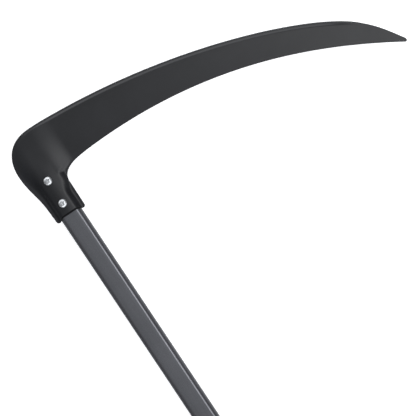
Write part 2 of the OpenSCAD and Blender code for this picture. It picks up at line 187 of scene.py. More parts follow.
# lay an upright piece along +X and carry it to its place
def layAlongX(piece, place):
    piece.rotation_euler = (0, math.pi / 2, 0)
    piece.location = place
    pick(piece)
    bpy.ops.object.transform_apply(location=True, rotation=True, scale=True)
    return piece


# flat plate drawn corner by corner in the XZ plane, then given its thickness along Y
def drawPlate(corners, thickness):
    deselectAll()
    bpy.ops.mesh.primitive_plane_add(size=1 * mm, location=(0, 0, 0))
    plate = bpy.context.object
    editPiece(plate, "VERT")
    bpy.ops.mesh.merge(type="CENTER")
    bpy.ops.transform.translate(value=(corners[0][0], -thickness / 2, corners[0][1]))
    for (x0, z0), (x1, z1) in zip(corners, corners[1:]):
        bpy.ops.mesh.extrude_region_move(TRANSFORM_OT_translate={"value": (x1 - x0, 0, z1 - z0)})
    bpy.ops.mesh.select_all(action="SELECT")
    bpy.ops.mesh.edge_face_add()
    bpy.ops.mesh.extrude_region_move(TRANSFORM_OT_translate={"value": (0, thickness, 0)})
    bpy.ops.mesh.select_all(action="SELECT")
    bpy.ops.mesh.normals_make_consistent(inside=False)
    bpy.ops.object.mode_set(mode="OBJECT")
    return plate


# last step of every piece: place into the mesh, normals out, smooth but for real edges
def finishPiece(piece, name, body, node, material, sharp=35):
    piece.name = piece.data.name = name
    pick(piece)
    bpy.ops.object.transform_apply(location=True, rotation=True, scale=True)
    editPiece(piece, "VERT")
    bpy.ops.mesh.remove_doubles(threshold=2 * mergeGap)
    bpy.ops.mesh.normals_make_consistent(inside=False)
    bpy.ops.object.mode_set(mode="OBJECT")
    bpy.ops.object.shade_smooth_by_angle(angle=math.radians(sharp))
    if material:
        piece.data.materials.clear()
        piece.data.materials.append(material)
    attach(piece, body)
    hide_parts(node)
    return piece


# shader helpers
def newMaterial(name):
    material = bpy.data.materials.new(name)
    material.use_nodes = True
    tree = material.node_tree
    return material, tree, tree.nodes["Principled BSDF"]


def addNode(tree, kind, settings=None, **inputs):
    node = tree.nodes.new(kind)
    for key, value in (settings or {}).items():
        setattr(node, key, value)
    for key, value in inputs.items():
        socket = node.inputs[int(key[1:])] if key[0] == "i" and key[1:].isdigit() else node.inputs[key]
        if isinstance(value, bpy.types.NodeSocket):
            tree.links.new(value, socket)
        else:
            socket.default_value = value
    return node


def newGroup(name, inputs, outputs):
    tree = bpy.data.node_groups.new(name, "ShaderNodeTree")
    for label, kind, value in inputs:
        socket = tree.interface.new_socket(label, in_out="INPUT", socket_type=kind)
        if value is not None:
            socket.default_value = value
    for label, kind in outputs:
        tree.interface.new_socket(label, in_out="OUTPUT", socket_type=kind)
    return tree, tree.nodes.new("NodeGroupInput").outputs, tree.nodes.new("NodeGroupOutput").inputs


def useGroup(tree, group, **inputs):
    node = tree.nodes.new("ShaderNodeGroup")
    node.node_tree = group
    for key, value in inputs.items():
        if isinstance(value, bpy.types.NodeSocket):
            tree.links.new(value, node.inputs[key])
        else:
            node.inputs[key].default_value = value
    return node.outputs


# fine surface: soft blotches and a small grain, stretched by Stretch
def makeSurfaceGroup():
    tree, given, out = newGroup(
        "surfaceGrain",
        [("Blotch Scale", "NodeSocketFloat", 40), ("Grain Scale", "NodeSocketFloat", 1200),
         ("Stretch", "NodeSocketVector", (1, 1, 1))],
        [("Blotch", "NodeSocketFloat"), ("Grain", "NodeSocketFloat")])
    place = addNode(tree, "ShaderNodeTexCoord").outputs["Object"]
    stretched = addNode(tree, "ShaderNodeVectorMath", {"operation": "MULTIPLY"},
                        i0=place, i1=given["Stretch"]).outputs[0]
    blotch = addNode(tree, "ShaderNodeTexNoise", Vector=place, Scale=given["Blotch Scale"], Detail=4,
                     Roughness=0.6)
    grain = addNode(tree, "ShaderNodeTexNoise", Vector=stretched, Scale=given["Grain Scale"], Detail=3)
    tree.links.new(blotch.outputs["Fac"], out["Blotch"])
    tree.links.new(grain.outputs["Fac"], out["Grain"])
    return tree


# mask that is 1 on worn edges: where a rounded normal leaves the true one
def makeEdgeGroup():
    tree, given, out = newGroup(
        "edgeWear",
        [("Radius", "NodeSocketFloat", 0.0006), ("Breakup Scale", "NodeSocketFloat", 300)],
        [("Worn", "NodeSocketFloat")])
    rounded = addNode(tree, "ShaderNodeBevel", {"samples": 4}, Radius=given["Radius"]).outputs[0]
    flat = addNode(tree, "ShaderNodeNewGeometry").outputs["Normal"]
    facing = addNode(tree, "ShaderNodeVectorMath", {"operation": "DOT_PRODUCT"}, i0=rounded, i1=flat)
    place = addNode(tree, "ShaderNodeTexCoord").outputs["Object"]
    breakup = addNode(tree, "ShaderNodeTexNoise", Vector=place, Scale=given["Breakup Scale"], Detail=3)
    edge = addNode(tree, "ShaderNodeMapRange", i0=facing.outputs["Value"], i1=0.995, i2=0.93,
                   i3=0.0, i4=1.0).outputs[0]
    worn = addNode(tree, "ShaderNodeMath", {"operation": "MULTIPLY"}, i0=edge, i1=breakup.outputs["Fac"])
    tree.links.new(worn.outputs[0], out["Worn"])
    return tree


surfaceGroup = makeSurfaceGroup()
edgeGroup = makeEdgeGroup()


def mixColour(tree, factor, first, second):
    mixer = addNode(tree, "ShaderNodeMix", {"data_type": "RGBA"})
    for socket, value in zip((mixer.inputs[0], mixer.inputs[6], mixer.inputs[7]), (factor, first, second)):
        if isinstance(value, bpy.types.NodeSocket):
            tree.links.new(value, socket)
        else:
            socket.default_value = value
    return mixer.outputs[2]


# noise lies around the middle of 0 to 1, so its middle part is spread over low to high
def spread(tree, value, low, high):
    return addNode(tree, "ShaderNodeMapRange", i0=value, i1=0.3, i2=0.7, i3=low, i4=high).outputs[0]


def bumpFrom(tree, height, strength, distance):
    return addNode(tree, "ShaderNodeBump", Height=height, Strength=strength, Distance=distance).outputs[0]


# every finish: mottled colour, worn edges where asked for, and a grain in roughness and bump
def makeFinish(name, look):
    material, tree, shader = newMaterial(name)
    grain = useGroup(tree, surfaceGroup, **{"Blotch Scale": look["blotch"], "Grain Scale": look["grain"],
                                            "Stretch": look.get("stretch", (1, 1, 1))})
    colour = mixColour(tree, spread(tree, grain["Blotch"], 0, 1), (*look["dark"], 1), (*look["light"], 1))
    if "worn" in look:
        edge = useGroup(tree, edgeGroup, Radius=look["wornRadius"])
        colour = mixColour(tree, edge["Worn"], colour, (*look["worn"], 1))
    tree.links.new(colour, shader.inputs["Base Color"])
    roughness = spread(tree, grain["Grain"], look["smooth"], look["rough"])
    tree.links.new(roughness, shader.inputs["Roughness"])
    shader.inputs["Metallic"].default_value = look["metal"]
    normal = bumpFrom(tree, grain["Grain"], look["bump"], look["bumpDepth"])
    tree.links.new(normal, shader.inputs["Normal"])
    for socket, value in look.get("sockets", {}).items():
        shader.inputs[socket].default_value = value
    return material


# finishes: darkest and lightest colour, noise scales per metre, roughness from smooth to rough
blackSteelLook = {"dark": (0.0040, 0.0046, 0.0058), "light": (0.0076, 0.0082, 0.0100),
                  "blotch": 28, "grain": 1500, "smooth": 0.30, "rough": 0.38, "metal": 0.0,
                  "bump": 0.10, "bumpDepth": 0.05 * mm,
                  "worn": (0.08, 0.08, 0.082), "wornRadius": 0.4 * mm}
groundSteelLook = {"dark": (0.42, 0.42, 0.43), "light": (0.60, 0.60, 0.61), "blotch": 60, "grain": 900,
                   "stretch": (6, 1, 1), "smooth": 0.26, "rough": 0.42, "metal": 1.0, "bump": 0.2,
                   "bumpDepth": 0.03 * mm}
# painted shade: near-black, dull and hardly glossy, it stands in for the shadow gap under the crown's rim
# at the mouth
paintedShadeEdgeLook = {"dark": (0.0020, 0.0021, 0.0024), "light": (0.0036, 0.0036, 0.0040),
               "blotch": 90, "grain": 1300, "smooth": 0.75, "rough": 0.95, "metal": 0.0,
               "bump": 0.2, "bumpDepth": 0.04 * mm, "sockets": {"Specular IOR Level": 0.12}}
greyTubeLook = {"dark": (0.163, 0.167, 0.179), "light": (0.185, 0.189, 0.203), "blotch": 18, "grain": 900,
                "stretch": (1, 0.01, 1), "smooth": 0.17, "rough": 0.25, "metal": 0.85, "bump": 0.04,
                "bumpDepth": 0.02 * mm, "worn": (0.30, 0.31, 0.33), "wornRadius": 0.3 * mm}
zincLook = {"dark": (0.54, 0.56, 0.57), "light": (0.76, 0.77, 0.78), "blotch": 260, "grain": 2200,
            "smooth": 0.28, "rough": 0.48, "metal": 1.0, "bump": 0.08, "bumpDepth": 0.03 * mm}
rubberLook = {"dark": (0.014, 0.014, 0.015), "light": (0.024, 0.024, 0.025), "blotch": 35, "grain": 2600,
              "smooth": 0.62, "rough": 0.80, "metal": 0.0, "bump": 0.35, "bumpDepth": 0.08 * mm,
              "worn": (0.05, 0.05, 0.05), "wornRadius": 0.6 * mm}
plasticLook = {"dark": (0.016, 0.016, 0.018), "light": (0.026, 0.026, 0.028), "blotch": 50, "grain": 1700,
               "smooth": 0.38, "rough": 0.55, "metal": 0.0, "bump": 0.18, "bumpDepth": 0.05 * mm,
               "worn": (0.07, 0.07, 0.07), "wornRadius": 0.4 * mm}
# painted shade: darker zinc standing in for the shade inside the screws' cross recess
recessShadeZincLook = {"dark": (0.07, 0.075, 0.08), "light": (0.12, 0.125, 0.13), "blotch": 300, "grain": 2200,
                  "smooth": 0.45, "rough": 0.6, "metal": 0.8, "bump": 0.1, "bumpDepth": 0.03 * mm}
plugLook = {"dark": (0.40, 0.36, 0.30), "light": (0.55, 0.50, 0.42), "blotch": 60, "grain": 900,
                "smooth": 0.5, "rough": 0.7, "metal": 0.0, "bump": 0.1, "bumpDepth": 0.05 * mm}
nylonLook = {"dark": (0.05, 0.12, 0.38), "light": (0.07, 0.16, 0.45), "blotch": 200, "grain": 1500,
             "smooth": 0.35, "rough": 0.5, "metal": 0.0, "bump": 0.05, "bumpDepth": 0.02 * mm}

blackSteel = makeFinish("blackSteel", blackSteelLook)
groundSteel = makeFinish("groundSteel", groundSteelLook)
paintedShadeEdge = makeFinish("paintedShadeEdge", paintedShadeEdgeLook)
greyTube = makeFinish("greyTube", greyTubeLook)
zinc = makeFinish("zincPlate", zincLook)
recessShadeZinc = makeFinish("recessShadeZinc", recessShadeZincLook)
rubber = makeFinish("gripRubber", rubberLook)
plastic = makeFinish("grainedPlastic", plasticLook)
plugPlastic = makeFinish("plugPlastic", plugLook)
nylon = makeFinish("blueNylon", nylonLook)
print("materials made")

# head: sheet pressed from one blank, measures in millimetres from the saddle's mouth, which lies 50 mm
# below the tube's end; a span is the start and the length of an easing along the handle or the blade
head = {
    "originY": tubeHigh.y - 50 * mm,
    "webZ": 7.5, "sheet": 1.5, "edge": 0.5, "rim": 0.2, "join": 0.001,
    "flangeLeft": -17.7, "flangeRight": 18.8, "flangeEnd": -2, "corner": 3,
    "notch": [(19.1, 28), (17.7, 44.4), (34.6, 47.4), (52.4, 48.5)],
    "edgeLine": [(52.4, 48.5), (214, 58.2), (329, 3.6), (408.4, -46.2)],
    "shoulder": [(-18.6, 20), (-19.8, 36), (-24.7, 46), (-24.8, 64)],
    "heel": [(-24.8, 64), (-24.8, 88.8), (-10.4, 102.6), (13, 102.6)],
    "crest": [(13, 102.6), (24, 102.8), (35, 102.1), (45, 101.3)],
    "back": [(45, 101.3), (211, 89.7), (350, 29.5), (380.3, -3.1)],
    "clip": [(380.3, -3.1), (393.5, -15.5), (400.7, -27.5), (409.7, -41.2)],
    "tipOut": [(409.7, -41.2), (410.3, -42), (410.7, -43), (410.8, -44)],
    "tipIn": [(408.4, -46.2), (409.6, -46.6), (410.7, -45.4), (410.8, -44.4)],
    "notchNeck": 0.35, "notchHeel": 0.7, "edgeClip": 0.93,
    "points": [8, 18, 30, 40, 18, 110, 26, 8], "across": 72,
    "crown": 4.0, "arch": 1.2, "rib": 1.8, "ribWidth": 5, "ground": 0.13,
    "setBack": 2.5, "slope": 1.8, "mouthDepth": 20, "mouthEnd": 10,
    "screws": (14, 43), "hole": 2.75,
    "leftSpan": (25, 50), "topSpan": (20, 20), "neckSpan": (20, 16), "heelSpan": (42, 8),
    "sinkSpan": (48, 48),
    "wallTop": 6, "wallTopNeck": 9.5, "wallFoot": 16, "wallFootNeck": 21.5, "wallFootHeel": 37,
    "leftTop": 6.5, "leftTopHeel": 3, "leftRun": 8.5, "leftRunHeel": 22, "sunk": 0.7,
    "rightPower": 2, "rightPowerHeel": 1.2, "leftPower": 1.6, "leftPowerHeel": 1.3,
    "archHalf": 13, "archPower": 1.5, "archSpan": (35, 40),
    "ribStartSpan": (-14, 22), "ribEndSpan": (338, 42), "ribRise": 0.75, "ribRound": 0.3, "ribDrop": 0.4,
    "overlap": 0.35,
}


# every leg of the outline is a cubic of four points
def straight(a, b):
    return [a, *[tuple(p + (q - p) * k / 3 for p, q in zip(a, b)) for k in (1, 2)], b]


# the stretch of a cubic between two shares of its course
def stretchOf(curve, start, stop):
    def blend(*shares):
        points = [Vector(point) for point in curve]
        for share in shares:
            points = [p.lerp(q, share) for p, q in zip(points, points[1:])]
        return tuple(points[0])
    return [blend(start, start, start), blend(start, start, stop), blend(start, stop, stop),
            blend(stop, stop, stop)]


# rounded corner at the foot of a flange
def cornerArc(side):
    x = head["flangeRight" if side > 0 else "flangeLeft"]
    end, r = head["flangeEnd"], head["corner"]
    pull = 0.45 * r         # about a quarter circle
    return [(x - side * r, end), (x - side * pull, end), (x, end + pull), (x, end + r)]


# one side of the outline; its weight tells how far across the sheet it lies
def drawLegs(legs, weight):
    deselectAll()
    bpy.ops.curve.primitive_bezier_curve_add()
    line = bpy.context.object
    line.data.dimensions = "3D"
    line.data.splines.clear()
    for leg, points in zip(legs, head["points"]):
        stretch = line.data.splines.new("BEZIER")
        stretch.bezier_points.add(1)
        stretch.resolution_u = points
        start, stop = stretch.bezier_points
        for end in (start, stop):
            end.handle_left_type = end.handle_right_type = "FREE"
        start.co, start.handle_left, start.handle_right = (*leg[0], 0), (*leg[0], 0), (*leg[1], 0)
        stop.co, stop.handle_left, stop.handle_right = (*leg[3], 0), (*leg[2], 0), (*leg[3], 0)
    bpy.ops.object.convert(target="MESH")
    line = bpy.context.object
    editPiece(line, "VERT")
    bpy.ops.mesh.remove_doubles(threshold=head["join"])
    bpy.ops.object.mode_set(mode="OBJECT")
    group = line.vertex_groups.new(name="across")
    group.add(range(len(line.data.vertices)), weight, "REPLACE")
    return line


def smoothStep(value):
    value = min(1, max(0, value))
    return value * value * (3 - 2 * value)


def between(a, b, s):
    return a + (b - a) * s


def ease(place, span):
    start, length = span
    return smoothStep((place - start) / length)


# how far the crown over the tube and the dome of the heel are raised, 0 to 1
def raisedAt(x, y):
    p = head
    leftHeel, rightHeel = ease(y, p["leftSpan"]), ease(y, p["heelSpan"])
    top = between(p["wallTop"], p["wallTopNeck"], ease(y, p["topSpan"]))
    foot = between(p["wallFoot"], p["wallFootNeck"], ease(y, p["neckSpan"]))
    foot += (p["wallFootHeel"] - p["wallFootNeck"]) * rightHeel
    right = smoothStep((x - top) / (foot - top))
    leftTop = between(p["leftTop"], p["leftTopHeel"], leftHeel)
    left = smoothStep((-leftTop - x) / between(p["leftRun"], p["leftRunHeel"], leftHeel))
    settled = 1 - p["sunk"] * ease(y, p["sinkSpan"])
    rightWall = 1 - right ** between(p["rightPower"], p["rightPowerHeel"], rightHeel)
    leftWall = 1 - left ** between(p["leftPower"], p["leftPowerHeel"], leftHeel)
    return settled * rightWall * leftWall


# the crown's own arch across the handle
def archAt(x, y):
    across = max(0, 1 - (x / head["archHalf"]) ** 2) ** head["archPower"]
    return across * (1 - ease(y, head["archSpan"]))


# the rib along the back: reach is the distance in from the outline
def ribAt(reach, x):
    p, width = head, head["ribWidth"]
    along = ease(x, p["ribStartSpan"]) * (1 - ease(x, p["ribEndSpan"]))
    rise = smoothStep((width - reach) / (p["ribRise"] * width))
    over = 1 - p["ribDrop"] * min(1, max(0, 1 - reach / (p["ribRound"] * width))) ** 2
    return along * rise * over


def heightAt(reach, x, y):
    dome = head["crown"] * raisedAt(x, y) + head["arch"] * archAt(x, y)
    bead = head["rib"] * ribAt(reach, x)
    return max(dome, bead) + head["overlap"] * min(dome, bead)


def weightIn(vertex, group):
    return next((held.weight for held in vertex.groups if held.group == group.index), 0)


def setWeights(piece, name, values):
    group = piece.vertex_groups.new(name=name)
    for index, value in values.items():
        group.add([index], value, "REPLACE")


# vertex weights end at 1, so lengths in millimetres are kept as shares of these
longest, highest = 100, 10


def shiftBy(piece, axis, strength, group):
    applyModifier(piece, "DISPLACE", direction=axis, mid_level=0, strength=strength, vertex_group=group)


# flat blank: the two sides of its outline, bridged, with a narrow band all round
def cutBlank():
    bend = head["flangeEnd"] + head["corner"]
    outer = drawLegs([cornerArc(-1), straight((head["flangeLeft"], bend), head["shoulder"][0]),
                      head["shoulder"], head["heel"], head["crest"], head["back"], head["clip"],
                      head["tipOut"]], 0)
    neck, heel, clip = head["notchNeck"], head["notchHeel"], head["edgeClip"]
    inner = drawLegs([cornerArc(1), straight((head["flangeRight"], bend), head["notch"][0]),
                      stretchOf(head["notch"], 0, neck), stretchOf(head["notch"], neck, heel),
                      stretchOf(head["notch"], heel, 1),
                      stretchOf(head["edgeLine"], 0, clip), stretchOf(head["edgeLine"], clip, 1),
                      head["tipIn"]], 1)
    pairs = zip(outer.data.vertices, inner.data.vertices)
    widths = [(a.co - b.co).length / longest for a, b in pairs]
    for line in (outer, inner):
        setWeights(line, "span", dict(enumerate(widths)))
    blank = joinPieces(outer, inner)
    editPiece(blank)
    bpy.ops.mesh.bridge_edge_loops(number_cuts=head["across"] - 1, interpolation="LINEAR")
    bpy.ops.mesh.select_mode(type="FACE")
    bpy.ops.mesh.select_all(action="SELECT")
    bpy.ops.mesh.normals_make_consistent(inside=False)
    bpy.ops.mesh.inset(thickness=head["rim"], use_boundary=True, use_outset=True)
    bpy.ops.object.mode_set(mode="OBJECT")
    return blank


# weights for the forms: how high, how far back at the mouth, rounded rim and ground bevel
def markForms(blank):
    across, span = blank.vertex_groups["across"], blank.vertex_groups["span"]
    edgeStart = head["edgeLine"][0][0] - 0.1
    raised, mouth, rim, ground = {}, {}, {}, {}
    for v in blank.data.vertices:
        x, y = v.co.x, v.co.y
        part = weightIn(v, across)
        raised[v.index] = heightAt(part * weightIn(v, span) * longest, x, y) / highest
        mouth[v.index] = raisedAt(x, y) * (1 - ease(y, (head["flangeEnd"], head["mouthDepth"])))
        ground[v.index] = max(0, 1 - (1 - part) / head["ground"]) if x > edgeStart else 0
        rim[v.index] = 0 if v.select else 1 - 0.5 * ground[v.index]
    for name, weights in (("raised", raised), ("mouth", mouth), ("rim", rim), ("ground", ground)):
        setWeights(blank, name, weights)


# give the pressed sheet its thickness; returns the vertices of the ground bevel
def thicken(blade):
    editPiece(blade, "FACE")
    bpy.ops.mesh.extrude_region_move(TRANSFORM_OT_translate={"value": (0, 0, -head["sheet"])})
    bpy.ops.object.mode_set(mode="OBJECT")
    upper, lower, lip = [blade.vertex_groups.new(name=name) for name in ("upper", "lower", "lip")]
    rims, grounds, mouths = [blade.vertex_groups[name] for name in ("rim", "ground", "mouth")]
    bevelled = set()
    for v in blade.data.vertices:
        if v.select:
            thinned = weightIn(v, grounds) * (head["sheet"] - head["edge"])
            lower.add([v.index], (thinned + head["rim"] * weightIn(v, rims)) / head["sheet"], "REPLACE")
            lip.add([v.index], weightIn(v, mouths), "REPLACE")
            if thinned > 0:
                bevelled.add(v.index)
        else:
            upper.add([v.index], weightIn(v, rims), "REPLACE")
    shiftBy(blade, "Z", -head["rim"], "upper")
    shiftBy(blade, "Z", head["sheet"], "lower")
    shiftBy(blade, "Y", -head["slope"], "lip")
    return bevelled


def paintHead(blade, bevelled):
    mouthY = head["originY"] + head["mouthEnd"] * mm
    for material in (blackSteel, groundSteel, paintedShadeEdge):
        blade.data.materials.append(material)
    for face in blade.data.polygons:
        if sum(i in bevelled for i in face.vertices) > 2:
            face.material_index = 1
        # the mouth's edge faces over the tube that face the handle get the painted shade finish, a dark
        # line in place of the shadow gap under the rim
        overTube = abs(face.center.x) < head["flangeRight"] * mm and face.center.y < mouthY
        if face.normal.y < -0.5 and overTube:
            face.material_index = 2


def drillScrewHoles(piece):
    for y in head["screws"]:
        cutAway(piece, addRod(head["hole"] * mm, -through, through, (0, head["originY"] + y * mm), 32))


def pressBlade():
    blade = cutBlank()
    markForms(blade)
    shiftBy(blade, "Z", highest, "raised")
    shiftBy(blade, "Y", head["setBack"] + head["slope"], "mouth")
    bevelled = thicken(blade)
    blade.scale = (mm, mm, mm)
    blade.location = (0, head["originY"], head["webZ"] * mm)
    pick(blade)
    bpy.ops.object.transform_apply(location=True, rotation=True, scale=True)
    editPiece(blade)
    bpy.ops.mesh.normals_make_consistent(inside=False)
    bpy.ops.object.mode_set(mode="OBJECT")
    paintHead(blade, bevelled)
    drillScrewHoles(blade)
    return finishPiece(blade, "bladeHead", "scythe", "blade", None, 50)


bladeHead = pressBlade()
print("blade pressed:", len(bladeHead.data.polygons), "faces")

# tube: rounded rectangle, drilled for the blade's screws
tube = {"radius": 5 * mm, "wall": 1.5 * mm}


def drawTube():
    width, depth = tubeHigh.x - tubeLow.x, tubeHigh.z - tubeLow.z
    outside = roundedBar(width, depth, tube["radius"], tubeLow.y, tubeHigh.y, 16)
    bore = roundedBar(width - 2 * tube["wall"], depth - 2 * tube["wall"], tube["radius"] - tube["wall"],
                      tubeLow.y - past, tubeHigh.y + past, 12)
    cutAway(outside, bore)
    drillScrewHoles(outside)
    return finishPiece(outside, "handleTube", "scythe", "handle_tube", greyTube, 40)


drawTube()
print("tube drawn")

# pan head screws with a cross recess, in millimetres; the recess is given by half its sizes
panScrew = {
    "headRadius": 4.8, "headHeight": 3.3, "shank": 2.5, "pitch": 0.8, "thread": 0.3, "threaded": 0.35,
    "tip": 1, "tipIn": 0.6,
    "recess": 3.1, "recessTop": 0.8, "recessBottom": 0.45, "recessDepth": 2.3, "turn": 20,
}


def makeCross(topZ, centre):
    s = panScrew
    arms = []
    for turn in (0, 90):
        deselectAll()
        bpy.ops.mesh.primitive_cube_add(size=2 * mm, location=(0, 0, 0))
        arm = bpy.context.object
        arm.scale = (s["recess"], s["recessTop"], s["recessDepth"])
        bpy.ops.object.transform_apply(location=False, rotation=False, scale=True)
        editFaces(arm, lambda face: face.normal.z < -0.5)
        shrink = s["recessBottom"] / s["recessTop"]
        bpy.ops.transform.resize(value=(shrink, shrink, 1))
        bpy.ops.object.mode_set(mode="OBJECT")
        arm.rotation_euler.z = math.radians(turn + s["turn"])
        arm.location = (*centre[:2], topZ)
        bpy.ops.object.transform_apply(location=True, rotation=True, scale=True)
        arms.append(arm)
    applyModifier(arms[0], "BOOLEAN", operation="UNION", solver="EXACT", object=arms[1])
    bpy.data.objects.remove(arms[1])
    # the recess walls take the painted shade finish, darker zinc in place of the shade inside the cross
    arms[0].data.materials.append(recessShadeZinc)
    return arms[0]


def makePanScrew(place, length):
    s = panScrew
    r, h, k = s["headRadius"], s["headHeight"], s["shank"]
    rings = int(s["threaded"] * length / s["pitch"])
    start = s["tip"] - length
    outline = [(0, h), (0.35 * r, 0.99 * h), (0.6 * r, 0.93 * h), (0.8 * r, 0.8 * h), (0.93 * r, 0.58 * h),
               (0.99 * r, 0.32 * h), (r, 0.12 * h), (0.98 * r, 0.02), (0.95 * r, 0), (k, 0)]
    for i in range(rings, 0, -1):
        z = start + i * s["pitch"]
        outline += [(k, z), (k - s["thread"], z - 0.5 * s["pitch"])]
    outline += [(k, start), (k - s["tipIn"], -length), (0, -length)]
    screw = turnOutline([(a * mm, b * mm) for a, b in outline], place, 40)
    screw.data.materials.append(zinc)
    cutAway(screw, makeCross(place[2] + h * mm, place))
    softenEdges(screw, 0.07 * mm, 2, 35)
    return screw


seat = (head["webZ"] + head["crown"] + head["arch"]) * mm
for prefix, y in zip(("lower", "upper"), head["screws"]):
    node = prefix + "_blade_screw"
    length = (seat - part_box(node)[0].z) / mm
    screw = makePanScrew((0, head["originY"] + y * mm, seat), length)
    finishPiece(screw, prefix + "Screw", "scythe", node, None, 30)
print("blade screws turned")

# washers and nuts, seat at z = 0 and reaching down
fastener = {
    "washerRadius": 5, "washerBore": 2.75, "washerHeight": 1,
    "nutFlats": 8, "nutHeight": 4, "nutBore": 2.55, "collar": 3.7, "collarHeight": 1.4, "ringBore": 3.1,
}


def makeWasher(radius, bore, height):
    edge = 0.15 * mm
    return turnOutline([(bore, edge), (bore + edge, 0), (radius - edge, 0), (radius, edge),
                        (radius, height - edge), (radius - edge, height), (bore + edge, height),
                        (bore, height - edge), (bore, edge)])


# hexagon bar whose corners are turned off at both ends by a cone
def makeHexagon(flats, low, high, chamfer=0.5 * mm):
    corner = flats / 2 / math.cos(math.pi / 6)
    bar = addRod(corner, low, high, vertices=6)
    face, girth = corner - 1.3 * chamfer, corner + 0.1 * mm
    turned = turnOutline([(0, low), (face, low), (girth, low + chamfer), (girth, high - chamfer),
                          (face, high), (0, high)])
    applyModifier(bar, "BOOLEAN", operation="INTERSECT", solver="EXACT", object=turned)
    bpy.data.objects.remove(turned)
    return bar


def makeLockNut():
    n = {key: value * mm for key, value in fastener.items()}
    nut = makeHexagon(n["nutFlats"], -n["nutHeight"], 0)
    depth = n["nutHeight"] + n["collarHeight"]
    edge, rooted = 0.3 * mm, -1 * mm
    collar = turnOutline([(0, -depth), (n["collar"] - edge, -depth), (n["collar"], -depth + edge),
                          (n["collar"], rooted), (0, rooted)])
    weld(nut, collar)
    cutAway(nut, addRod(n["nutBore"], -depth - past, past))
    cutAway(nut, addRod(n["ringBore"], -depth - past, -n["nutHeight"]))
    softenEdges(nut, 0.08 * mm, 2, 25)
    return nut


thickness = fastener["washerHeight"] * mm
for prefix, y in zip(("lower", "upper"), head["screws"]):
    underWasher = (0, head["originY"] + y * mm, tubeLow.z - thickness)
    washer = makeWasher(fastener["washerRadius"] * mm, fastener["washerBore"] * mm, thickness)
    washer.location = underWasher
    finishPiece(washer, prefix + "Washer", "scythe", prefix + "_washer", zinc)
    nut = makeLockNut()
    nut.location = underWasher
    finishPiece(nut, prefix + "LockNut", "scythe", prefix + "_lock_nut", zinc, 30)
print("washers and lock nuts made")

# rubber sleeve at the lower end: grooved all round, with a flared stop
endGrip = {
    "wall": 4 * mm, "gap": 0.05 * mm, "grooves": 14, "groove": 4 * mm, "slope": 0.7 * mm, "depth": 1.1 * mm,
    "plain": 16 * mm, "flare": 6 * mm, "flareOver": 2.5 * mm,
}


# carry the selected end face forward, each step a length and how far the section stands proud after it
def extendAlongY(width, depth, steps):
    proud = 0
    for length, after in steps:
        bpy.ops.mesh.extrude_region_move(TRANSFORM_OT_translate={"value": (0, length, 0)})
        bpy.ops.transform.resize(value=((width + 2 * after) / (width + 2 * proud), 1,
                                        (depth + 2 * after) / (depth + 2 * proud)))
        proud = after


def mouldEndGrip():
    g = endGrip
    low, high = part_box("end_grip")
    inside, insideDepth = tubeHigh.x - tubeLow.x, tubeHigh.z - tubeLow.z
    width, depth = inside + 2 * g["wall"], insideDepth + 2 * g["wall"]
    pitch = (high.y - low.y - 2 * g["plain"] - g["flare"]) / g["grooves"]
    sleeve = roundedBar(width, depth, tube["radius"] + g["wall"], low.y, low.y + g["plain"], 10)
    land, floor = (pitch - g["groove"]) / 2, g["groove"] - 2 * g["slope"]
    groove = [(land, 0), (g["slope"], -g["depth"]), (floor, -g["depth"]), (g["slope"], 0), (land, 0)]
    stop = [(g["plain"], 0), (0.25 * g["flare"], 0.8 * g["flareOver"]), (0.2 * g["flare"], g["flareOver"]),
            (0.55 * g["flare"], g["flareOver"])]
    editFaces(sleeve, lambda face: face.normal.y > 0.9)
    extendAlongY(width, depth, groove * g["grooves"] + stop)
    bpy.ops.object.mode_set(mode="OBJECT")
    softenEdges(sleeve, 0.35 * mm, 3, 25)
    cutAway(sleeve, roundedBar(inside + 2 * g["gap"], insideDepth + 2 * g["gap"], tube["radius"],
                               low.y - past, high.y + past, 10))
    return finishPiece(sleeve, "endGrip", "scythe", "end_grip", rubber, 35)


mouldEndGrip()

# cap over the tube's lower end, with a tab for hanging
endCap = {"flange": 4 * mm, "tab": 11 * mm, "tabDepth": 12 * mm, "hole": 4 * mm, "spigot": 30 * mm,
          "play": 0.1 * mm, "round": 0.8 * mm}


def mouldEndCap():
    c, over = endCap, endGrip["wall"]
    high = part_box("end_cap")[1]
    start = high.y - c["spigot"]
    inset = tube["wall"] + c["play"]
    width, depth = tubeHigh.x - tubeLow.x, tubeHigh.z - tubeLow.z
    flange = roundedBar(width + 2 * over, depth + 2 * over, tube["radius"] + over,
                        start - c["flange"], start, 10)
    half = c["tabDepth"] / 2
    weld(flange, addRod(c["tab"], -half, half, vertices=64),
         addBlock((-c["tab"], 0, -half), (c["tab"], start - 0.5 * c["flange"], half)))
    cutAway(flange, addRod(c["hole"], -through, through))
    softenEdges(flange, c["round"], 3, 35)
    weld(flange, roundedBar(width - 2 * inset, depth - 2 * inset, tube["radius"] - inset,
                            start - 0.5 * c["flange"], high.y, 8))
    return finishPiece(flange, "endCap", "scythe", "end_cap", plastic, 35)


mouldEndCap()
print("end grip and cap moulded")

# clamp of the side grip: two halves round the tube, the front one with a fork for the tilting post
gripLow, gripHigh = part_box("grip_post")
clampLow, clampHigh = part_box("clamp_front")
clamp = {
    "wall": 5 * mm, "gap": 0.3 * mm, "split": 1.2 * mm, "ear": 10 * mm, "earHeight": 6 * mm,
    "bore": 2.75 * mm, "y": (gripLow.y + gripHigh.y) / 2, "eye": 10.5 * mm,
    "lug": 11 * mm, "lugWidth": 5 * mm, "lugFoot": 1 * mm,
    "fork": 5.3 * mm, "pin": 3.08 * mm, "round": 0.9 * mm,
}
clamp["pivotZ"] = gripLow.z + clamp["eye"]
clamp["earX"] = clampHigh.x - clamp["ear"] / 2


